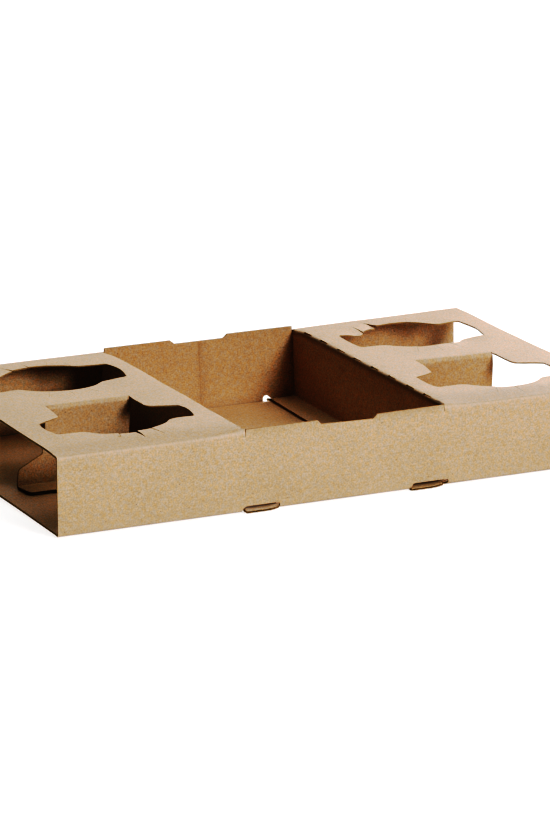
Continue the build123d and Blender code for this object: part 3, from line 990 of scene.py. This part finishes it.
# the die has pressed the board flat along the holes' rims, towards its top
crush = np.zeros(n0)
m = (K == 0) & (np.abs(UV[:, 1]) < V1 - 2) & (np.abs(UV[:, 0]) > BAY + 3) & (np.abs(UV[:, 0]) < LX - 2)
crush[on_rim[m[on_rim]]] = 0.68
m = (K == 0) & (np.abs(UV[:, 1]) < V1 - 2) & (np.abs(UV[:, 0]) < BAY + 1.9) & (np.abs(UV[:, 0]) > BAY + 0.9)
crush[on_rim[m[on_rim]]] = 0.85
for k in range(5):
    ids = on_rim[base[on_rim, 0] == k]
    if not len(ids):
        continue
    q = base[ids, 1:]
    for s in range(0, len(ids), 500):
        me = ids[s : s + 500]
        d = q[None] - base[me, 1:][:, None]
        nn = inward[me] / np.linalg.norm(inward[me], axis=1, keepdims=True)
        dot = (d * nn[:, None]).sum(2)
        with np.errstate(divide="ignore", invalid="ignore"):
            r = np.where(dot > 1e-3, (d**2).sum(2) / (2 * dot), 1e9)
        reach[me] = np.minimum(DEEP, np.maximum(0.25, 0.62 * r.min(1)))
for ring in rims:
    ring = np.array(ring)
    for _ in range(3):
        r = reach[ring]
        reach[ring] = np.minimum(r, (np.roll(r, 1) + np.roll(r, -1) + 2 * r) / 4 + 0.02)


def bent(k, u, v, h):
    """Point at height h off the board's middle."""
    out = np.zeros((len(u), 3))
    for kk in np.unique(k):
        m = k == kk
        out[m] = place(int(kk), u[m], v[m]) + normal(int(kk), u[m], v[m]) * np.asarray(h)[m][:, None]
    return out


# ----------------------------------------------------------------- mesh: board
OUTER, INNER, CUT, CORE = 0, 1, 2, 3
half, lip = T / 2, T / 2 - LINER
verts = [P + N * half, P - N * (half - crush)[:, None]]
ids = np.full(n0, -1)
ids[on_rim] = np.arange(len(on_rim))
bk, bu, bv = base[on_rim, 0], base[on_rim, 1], base[on_rim, 2]
du, dv = inward[on_rim, 0] * reach[on_rim], inward[on_rim, 1] * reach[on_rim]
ones = np.ones(len(on_rim))
verts += [
    P[on_rim] + N[on_rim] * lip,
    bent(bk, bu + du, bv + dv, ones * lip),
    bent(bk, bu + du, bv + dv, crush[on_rim] - lip),
    P[on_rim] - N[on_rim] * (lip - crush[on_rim])[:, None],
]
nr = len(on_rim)
rows = [lambda a: a, lambda a: 2 * n0 + ids[a], lambda a: 2 * n0 + nr + ids[a]]
rows += [lambda a: 2 * n0 + 2 * nr + ids[a], lambda a: 2 * n0 + 3 * nr + ids[a], lambda a: n0 + a]
faces, slots, uvs = [], [], []
for t, q in zip(tris, tri_uv):
    faces.append(tuple(int(i) for i in t))
    slots.append(OUTER)
    uvs.append([(p[1], p[2]) for p in q])
    faces.append(tuple(int(n0 + i) for i in t[::-1]))
    slots.append(INNER)
    uvs.append([(p[1] + 600.0, p[2] + 37.0) for p in q[::-1]])
for ring in rims:
    for a in ring:
        b, t, i = rim[a]
        ua, ub = tri_uv[t][i][1:], tri_uv[t][(i + 1) % 3][1:]
        for r in range(5):
            faces.append((int(rows[r](a)), int(rows[r + 1](a)), int(rows[r + 1](b)), int(rows[r](b))))
            slots.append(CUT if r in (0, 4) else CORE)
            w0, w1 = r * 0.6, r * 0.6 + 0.6
            uvs.append([(ua[0] + w0, ua[1] + w0), (ua[0] + w1, ua[1] + w1), (ub[0] + w1, ub[1] + w1), (ub[0] + w0, ub[1] + w0)])
verts = np.concatenate(verts)

# the score line pressed into the rear wall's inner face
m = (np.abs(UV[:, 0] - score[1]) < 0.01) & (UV[:, 1] > VEDGE + 3.3) & (UV[:, 1] < V3 - 0.3) & (K == 0)
dash = 0.5 + 0.5 * np.sin(UV[m, 1] * 2.1)
verts[n0 + np.where(m)[0]] += N[m] * (0.1 + 0.14 * dash)[:, None]
# which runs slightly aslant
m = (np.abs(UV[:, 0] - 0.65) < 0.7) & (UV[:, 1] > VEDGE - 0.01) & (UV[:, 1] < V3 + 0.1) & (K == 0)
for n_ in (0, n0):
    verts[n_ + np.where(m)[0], 0] += -1.6 + 2.3 * (UV[m, 1] - VEDGE) / (V3 - VEDGE)


def make(name, verts, faces, slots=None, uvs=None, smooth=True):
    mesh = bpy.data.meshes.new(name)
    mesh.from_pydata([tuple(v) for v in np.asarray(verts) / 1000.0], [], faces)
    if slots is not None:
        mesh.polygons.foreach_set("material_index", np.array(slots, np.int32))
    if uvs is not None:
        layer = mesh.uv_layers.new(name="sheet")
        layer.data.foreach_set("uv", (np.array([c for f in uvs for c in f], float) / 1000.0).ravel())
    mesh.polygons.foreach_set("use_smooth", np.full(len(faces), smooth))
    mesh.update()
    obj = bpy.data.objects.new(name, mesh)
    bpy.context.scene.collection.objects.link(obj)
    return obj


board = make("carrier_board", verts, faces, slots, uvs)
board.data.set_sharp_from_angle(angle=math.radians(38))

# ---------------------------------------------------------------- mesh: flutes
STEPS = 4
amp = lip - MEDIUM / 2 - 0.012
fv, ff, fuv = [], [], []
count = 0
for ring in rims:
    ks, us, vs, ns, rs, cs = [], [], [], [], [], []
    for a in ring:
        b, t, i = rim[a]
        ka, ua, va = tri_uv[t][i]
        _, ub, vb = tri_uv[t][(i + 1) % 3]
        n = max(1, int(math.ceil(abs(ub - ua) / 0.4)), int(math.ceil(math.hypot(ub - ua, vb - va) / 3.2)))
        for j in range(n):
            f = j / n
            ks.append(ka if j or base[a, 0] != 0 else 0)
            us.append(ua + (ub - ua) * f)
            vs.append(va + (vb - va) * f)
            ns.append(inward[a] * (1 - f) + inward[b] * f)
            rs.append(reach[a] * (1 - f) + reach[b] * f)
            cs.append(crush[a] * (1 - f) + crush[b] * f)
    ks, us, vs, ns, rs, cs = map(np.array, (ks, us, vs, ns, rs, cs))
    m = len(us)
    grid = []
    for sign in (1, -1):
        for j in range(STEPS + 1):
            d = 0.06 + (np.maximum(rs - 0.03, 0.1) - 0.06) * j / STEPS
            uu, vv = us + ns[:, 0] * d, vs + ns[:, 1] * d
            h = (amp - cs / 2) * np.sin(2 * math.pi * uu / PITCH) + cs / 2 + sign * MEDIUM / 2
            grid.append((bent(ks, uu, vv, h), uu, vv))
    order = list(range(STEPS + 1)) + list(range(2 * STEPS + 1, STEPS, -1))
    cols_ = len(order)
    pts = np.stack([grid[g][0] for g in order], 1).reshape(-1, 3)
    gu = np.stack([grid[g][1] for g in order], 1)
    gv = np.stack([grid[g][2] for g in order], 1)
    fv.append(pts)
    for i in range(m):
        i2 = (i + 1) % m
        for c in range(cols_):
            c2 = (c + 1) % cols_
            ff.append((count + i * cols_ + c, count + i * cols_ + c2, count + i2 * cols_ + c2, count + i2 * cols_ + c))
            fuv.append(
                [
                    (gu[i, c] + 0.3 * c, gv[i, c]),
                    (gu[i, c2] + 0.3 * c + 0.3, gv[i, c2]),
                    (gu[i2, c2] + 0.3 * c + 0.3, gv[i2, c2]),
                    (gu[i2, c] + 0.3 * c, gv[i2, c]),
                ]
            )
    count += m * cols_
flutes = make("carrier_flutes", np.concatenate(fv), ff, None, fuv)
flutes.data.set_sharp_from_angle(angle=math.radians(50))
print("board", len(board.data.loop_triangles) or sum(len(f) - 2 for f in faces), "flutes", 2 * len(ff), "rims", len(rims))

# -------------------------------------------------------------------- materials
def kraft(name, gold, grey, rough=0.62, bump=0.25, ridges=0.0, grainy=1.25):
    """Unbleached kraft: mottled fibre grain, specks and stray fibres, with the painted highlights and painted shade
    that the mesh's marks carry.
    """
    mat = bpy.data.materials.new(name)
    mat.use_nodes = True
    nt = mat.node_tree
    nodes, links = nt.nodes, nt.links
    nodes.clear()

    def node(kind, **kw):
        n = nodes.new(kind)
        for key, val in kw.items():
            setattr(n, key, val)
        return n

    def put(n, sock, val):
        n.inputs[sock].default_value = val

    def link(a, b):
        links.new(a, b)

    uv = node("ShaderNodeUVMap", uv_map="sheet")
    mm = node("ShaderNodeVectorMath", operation="SCALE")
    link(uv.outputs["UV"], mm.inputs[0])
    put(mm, "Scale", 1000.0)

    def noise(scale, detail, rough_, stretch=(1, 1, 1), turn=0.0, lo=None, hi=None):
        m = node("ShaderNodeMapping")
        m.inputs["Scale"].default_value = stretch
        m.inputs["Rotation"].default_value = (0, 0, turn)
        link(mm.outputs[0], m.inputs["Vector"])
        n = node("ShaderNodeTexNoise")
        put(n, "Scale", scale)
        put(n, "Detail", detail)
        put(n, "Roughness", rough_)
        link(m.outputs[0], n.inputs["Vector"])
        if lo is None:
            return n.outputs[0]
        r = node("ShaderNodeMapRange")
        link(n.outputs[0], r.inputs["Value"])
        put(r, "From Min", lo)
        put(r, "From Max", hi)
        return r.outputs[0]

    def mix(fac, a, b, blend="MIX"):
        m = node("ShaderNodeMix", data_type="RGBA", blend_type=blend)
        for sock, val in ((0, fac), (6, a), (7, b)):
            if hasattr(val, "is_linked") or hasattr(val, "links"):
                link(val, m.inputs[sock])
            else:
                m.inputs[sock].default_value = val
        return m.outputs[2]

    def maths(op, a, b=None, clamp=False):
        m = node("ShaderNodeMath", operation=op, use_clamp=clamp)
        for i, val in enumerate((a, b)):
            if val is None:
                continue
            if hasattr(val, "links"):
                link(val, m.inputs[i])
            else:
                m.inputs[i].default_value = val
        return m.outputs[0]

    # golden and greyish fibre, then tone: fine grain, mottle and wide clouds
    grain = noise(0.95, 2.5, 0.62)
    mottle = noise(0.3, 4, 0.66, (0.8, 1, 1), 0.3)
    hue = noise(0.42, 4, 0.72, (1, 0.85, 1), 1.1, 0.38, 0.62)
    clouds = noise(0.035, 3, 0.55, (0.8, 1, 1), 0.7)
    col = mix(hue, (*gold, 1), (*grey, 1))

    def swing(fac, amount):
        return maths("MULTIPLY", maths("SUBTRACT", fac, 0.5), amount)

    tone = maths("ADD", swing(grain, grainy), swing(mottle, 0.45))
    tone = maths("ADD", tone, swing(clouds, 0.2))
    tone = maths("ADD", tone, 1.0)
    shade = node("ShaderNodeCombineColor")
    for i in range(3):
        link(tone, shade.inputs[i])
    col = mix(1.0, col, shade.outputs[0], "MULTIPLY")

    def flecks(scale, size, rarity, stretch, turn):
        """Sparse marks: 1 inside a mark."""
        m = node("ShaderNodeMapping")
        m.inputs["Scale"].default_value = stretch
        m.inputs["Rotation"].default_value = (0, 0, turn)
        wob = noise(0.5, 2, 0.5)
        off = node("ShaderNodeVectorMath", operation="ADD")
        link(mm.outputs[0], off.inputs[0])
        link(wob, off.inputs[1])
        link(off.outputs[0], m.inputs["Vector"])
        v = node("ShaderNodeTexVoronoi")
        v.voronoi_dimensions = "2D"
        put(v, "Scale", scale)
        link(m.outputs[0], v.inputs["Vector"])
        near = node("ShaderNodeMapRange")
        link(v.outputs["Distance"], near.inputs["Value"])
        put(near, "From Min", size)
        put(near, "From Max", size * 0.45)
        sep = node("ShaderNodeSeparateColor")
        link(v.outputs["Color"], sep.inputs[0])
        pick = maths("GREATER_THAN", sep.outputs[0], rarity)
        return maths("MULTIPLY", near.outputs[0], pick)

    pale_fibre = maths(
        "MAXIMUM",
        flecks(0.42, 0.10, 0.55, (0.22, 1, 1), 0.5),
        flecks(0.38, 0.10, 0.6, (0.25, 1, 1), -0.9),
    )
    dark_fibre = flecks(0.36, 0.09, 0.6, (0.3, 1, 1), 1.9)
    specks = flecks(0.12, 0.05, 0.86, (1, 1, 1), 0.3)
    blots = flecks(0.055, 0.10, 0.8, (1, 0.8, 1), 1.2)
    light = tuple(min(1, c * 1.22) for c in grey) + (1,)
    deep = tuple(c * 0.62 for c in gold) + (1,)
    col = mix(maths("MULTIPLY", pale_fibre, 0.45), col, light)
    col = mix(maths("MULTIPLY", dark_fibre, 0.4), col, deep)
    col = mix(maths("MULTIPLY", blots, 0.4), col, light)
    col = mix(maths("MULTIPLY", specks, 0.75), col, (0.10, 0.06, 0.035, 1))

    # painted highlight and wear along the folds: lighter where the mesh's points are marked
    wear_and_highlight = node("ShaderNodeAttribute", attribute_name="wear_and_highlight")
    worn_and_highlit = maths("MULTIPLY", wear_and_highlight.outputs["Fac"], noise(0.9, 4, 0.7, (1, 1, 1), 0.0, 0.3, 0.62))
    col = mix(maths("MULTIPLY", worn_and_highlit, 0.85), col, tuple(min(1, c * 1.28) for c in grey) + (1,))
    # painted shade, and the score line, darkening the colour where the mesh's points are marked
    painted_shade = node("ShaderNodeAttribute", attribute_name="line")
    col = mix(maths("MULTIPLY", painted_shade.outputs["Fac"], 0.6), col, tuple(c * 0.3 for c in gold) + (1,))

    height = maths("ADD", maths("MULTIPLY", grain, 0.6), maths("MULTIPLY", mottle, 0.35))
    height = maths("ADD", height, maths("MULTIPLY", pale_fibre, 0.3))
    if ridges:
        sep = node("ShaderNodeSeparateXYZ")
        link(mm.outputs[0], sep.inputs[0])
        wave_ = maths("SINE", maths("MULTIPLY", sep.outputs[0], 2 * math.pi / PITCH))
        height = maths("ADD", height, maths("MULTIPLY", wave_, ridges))
    b = node("ShaderNodeBump")
    put(b, "Strength", bump)
    put(b, "Distance", 0.00012)
    link(height, b.inputs["Height"])
    s = node("ShaderNodeBsdfPrincipled")
    put(s, "Roughness", rough)
    put(s, "Specular IOR Level", 0.8)
    link(col, s.inputs["Base Color"])
    link(b.outputs[0], s.inputs["Normal"])
    out = node("ShaderNodeOutputMaterial")
    link(s.outputs[0], out.inputs[0])
    return mat


GOLD, GREY = (0.538, 0.316, 0.166), (0.470, 0.347, 0.250)
liner_out = kraft("kraft_liner", GOLD, GREY, ridges=0.25)
liner_in = kraft("kraft_liner_inside", GOLD, GREY, ridges=0.3)
cut_mat = kraft("kraft_cut_edge", (0.44, 0.28, 0.15), (0.44, 0.30, 0.18), rough=0.9, bump=0.6, grainy=1.4)
core_mat = kraft("kraft_core", (0.34, 0.20, 0.10), (0.35, 0.22, 0.12), rough=0.95, bump=0.3)
medium_mat = kraft("kraft_fluting", (0.38, 0.23, 0.115), (0.38, 0.25, 0.14), rough=0.95, bump=0.4)
for m_ in (liner_out, liner_in, cut_mat, core_mat):
    board.data.materials.append(m_)
flutes.data.materials.append(medium_mat)

# worn folds with a painted highlight on them, the score line, and painted shade, as marks on the mesh's points
wear_and_highlight = np.zeros(len(verts))
mark = np.zeros(len(verts))
a = np.abs(UV[:, 1])
w0 = np.exp(-(((a - (V1 + ARC * 0.55)) / 0.75) ** 2)) * ((np.abs(UV[:, 0]) > BAY - 0.5) & (K == 0))
w0 = np.maximum(w0, 0.5 * np.exp(-(((a - (V3 + ARC * 0.3)) / 0.7) ** 2)) * (K == 0))
# painted highlight on the left partition's fold, the side the lamps light
fold = np.exp(-(((UW - np.abs(UV[:, 0]) - ARC * 0.5) / 0.8) ** 2)) * ((K == 1) | (K == 2))
w0 = np.maximum(w0, 0.9 * fold * (UV[:, 0] < 0))
wear_and_highlight[:n0] = w0
m = (UV[:, 1] > VEDGE + 3) & (UV[:, 1] < V3 + 0.1) & (K == 0)
for u_, much in zip(score, (0.35, 0.8, 0.35)):
    mark[n0 : 2 * n0] += np.where(m & (np.abs(UV[:, 0] - u_) < 0.01), much * (0.75 + 0.25 * np.sin(UV[:, 1] * 1.3 + u_)), 0)
# the bottom creases: painted shade along their inside, and a painted contact shadow under the front edge
m = (K == 0) & (a > V3 - 2) & (a < V4 - 1e-3) & (np.abs(UV[:, 0]) < LX - 0.1)
mark[n0 : 2 * n0] += np.where(m, 1.1 * np.exp(-(((a - (V3 + ARC * 0.5)) / 1.0) ** 2)), 0)
under_edge_shade = 0.95 + 0.5 * np.sin(UV[:, 0] * 0.13 + 1.0) * np.sin(UV[:, 0] * 0.047 + 0.5)
mark[:n0] += np.where(m & (UV[:, 1] < 0), under_edge_shade * np.exp(-(((a - (V3 + ARC * 0.68)) / 0.55) ** 2)), 0)
# painted shade: the right partition's fold is dark up to the cuts of its perforation
edge_in = np.clip((UW - UV[:, 0] - ARC * 0.35) / 0.7, 0, 1) * np.exp(-(((UW - UV[:, 0] - ARC * 0.9) / 1.6) ** 2))
mark[:n0] += np.where(K == 2, 0.9 * edge_in, 0)
# painted shade: the left divider is a little darker, its foot on the floor more so
for n_ in (0, n0):
    low = verts[n_ : n_ + n0, 2] < 7
    mark[n_ : n_ + n0] += np.where(K == 3, np.where(low, 0.35, 0.14), 0)
# inside the front slots the tabs' upper part lies in the dark of the sleeve
for n_ in (0, n0):
    q = verts[n_ : n_ + n0]
    deep_in = np.clip((105.2 + q[:, 1]) / 1.6 + 1, 0, 1) * (q[:, 1] < -98)
    mark[n_ : n_ + n0] += (1.3 * deep_in + 0.3 * (q[:, 1] < -98)) * ((K == 1) | (K == 2)) * (np.abs(UV[:, 1]) > 98)
# painted shade on the panels' front strips, growing towards the fold
m = (K == 0) & (np.abs(UV[:, 1] + 98) < 14)
mark[:n0] += np.where(m, np.where(UV[:, 0] > 0, 0.42, 0.26) * np.clip((-84 - UV[:, 1]) / 10, 0, 1) * np.clip((UV[:, 1] + V1 + 1.2) / 1.2, 0, 1), 0)
# and painted shade: the front wall is a little darker towards the floor
m = (K == 0) & (UV[:, 1] < -V2) & (a < V4)
mark[:n0] += np.where(m, 0.18 * np.clip((a - V2) / (V3 - V2), 0, 1) ** 1.5, 0)
for name_, val in (("wear_and_highlight", wear_and_highlight), ("line", mark)):
    att = board.data.attributes.new(name_, "FLOAT", "POINT")
    att.data.foreach_set("value", val)

for obj in (board, flutes):
    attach(obj, "root")
    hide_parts("cup_carrier")

# ----------------------------------------------------------------- floor, light
floor_mesh = bpy.data.meshes.new("floor")
floor_mesh.from_pydata([(-9, -9, 0), (9, -9, 0), (9, 9, 0), (-9, 9, 0)], [], [(0, 1, 2, 3)])
floor = bpy.data.objects.new("floor", floor_mesh)
bpy.context.scene.collection.objects.link(floor)
fm = bpy.data.materials.new("pale_floor")
fm.use_nodes = True
fs = fm.node_tree.nodes["Principled BSDF"]
fs.inputs["Base Color"].default_value = (0.28, 0.28, 0.28, 1)
fs.inputs["Roughness"].default_value = 0.9
fs.inputs["Specular IOR Level"].default_value = 0.1
fs.inputs["Emission Color"].default_value = (1, 1, 1, 1)
fs.inputs["Emission Strength"].default_value = 0.86
floor.data.materials.append(fm)


def softbox(name, az, el, dist, size, power, colour=(1, 1, 1), aim=(0, 0, 0.02)):
    """An area light at azimuth az (0 is the front, + to the right)."""
    data = bpy.data.lights.new(name, "AREA")
    data.shape = "RECTANGLE"
    data.size, data.size_y = size
    data.energy = power
    data.color = colour
    obj = bpy.data.objects.new(name, data)
    a, e = math.radians(az), math.radians(el)
    way = Vector((math.sin(a) * math.cos(e), -math.cos(a) * math.cos(e), math.sin(e)))
    obj.location = Vector(aim) + way * dist
    obj.rotation_euler = way.to_track_quat("Z", "Y").to_euler()
    bpy.context.scene.collection.objects.link(obj)
    return obj


softbox("key", 15, 23, 2.4, (0.6, 0.6), 19.7)
softbox("key_low", 12, 25, 2.4, (0.6, 0.6), 5.6)
softbox("key_high", 17, 33, 2.4, (0.6, 0.6), 12.0)
softbox("right", 60, 50, 2.4, (0.9, 0.9), 7.3)
softbox("rear_right", 125, 18, 2.0, (1.2, 0.6), 32.0)
softbox("rim", 110, 20, 2.0, (0.9, 0.7), 3.3)
softbox("rear", 180, 35, 2.0, (2.0, 1.0), 15.0)
softbox("overhead", 60, 85, 2.0, (2.0, 2.0), 19.5)
world = bpy.data.worlds.new("studio")
bpy.context.scene.world = world
world.use_nodes = True
world.node_tree.nodes["Background"].inputs[0].default_value = (1, 1, 1, 1)
world.node_tree.nodes["Background"].inputs[1].default_value = 0.01

# ----------------------------------------------------------------------- camera
cam_data = bpy.data.cameras.new("camera")
cam = bpy.data.objects.new("camera", cam_data)
bpy.context.scene.collection.objects.link(cam)
az, el = math.radians(-25.578), math.radians(15.51)
back = Vector((math.sin(az) * math.cos(el), -math.cos(az) * math.cos(el), math.sin(el)))
cam.location = (-1.1890, -2.4925, 0.7952)
cam.rotation_euler = back.to_track_quat("Z", "Y").to_euler()
cam_data.sensor_fit = "AUTO"
cam_data.sensor_width = 36.0
cam_data.lens = 196.08
cam_data.clip_end = 60
bpy.context.scene.camera = cam

view = bpy.context.scene.view_settings
view.view_transform = "Standard"
view.look = "None"
# the picture's strong, print-like contrast: deep shadows, a soft shoulder
view.use_curve_mapping = True
RED = [(0.0, 0.0), (0.0222, 0.0175), (0.058, 0.047), (0.1, 0.084), (0.156, 0.136), (0.29, 0.268)]
RED += [(0.4, 0.4), (0.6, 0.585), (0.75, 0.74), (1.0, 1.0)]
TONE = [
    (0.0, 0.0),
    (0.0207, 0.0011),
    (0.0458, 0.0026),
    (0.0921, 0.0100),
    (0.1645, 0.0450),
    (0.214, 0.1000),
    (0.28, 0.1900),
    (0.3566, 0.2980),
    (0.4325, 0.3830),
    (0.5172, 0.4580),
    (0.625, 0.5450),
    (0.75, 0.6500),
    (0.85, 0.7500),
    (0.95, 0.8900),
    (1.05, 1.05),
]
for curve, table in ((view.curve_mapping.curves[3], TONE), (view.curve_mapping.curves[0], RED)):
    for i, (tx, ty) in enumerate(table):
        if i == 0:
            curve.points[0].location = (tx, ty)
        elif i == len(table) - 1:
            curve.points[-1].location = (tx, ty)
        else:
            curve.points.new(tx, ty)
    for point in curve.points:
        point.handle_type = "AUTO_CLAMPED"
view.curve_mapping.use_clip = False
view.curve_mapping.update()
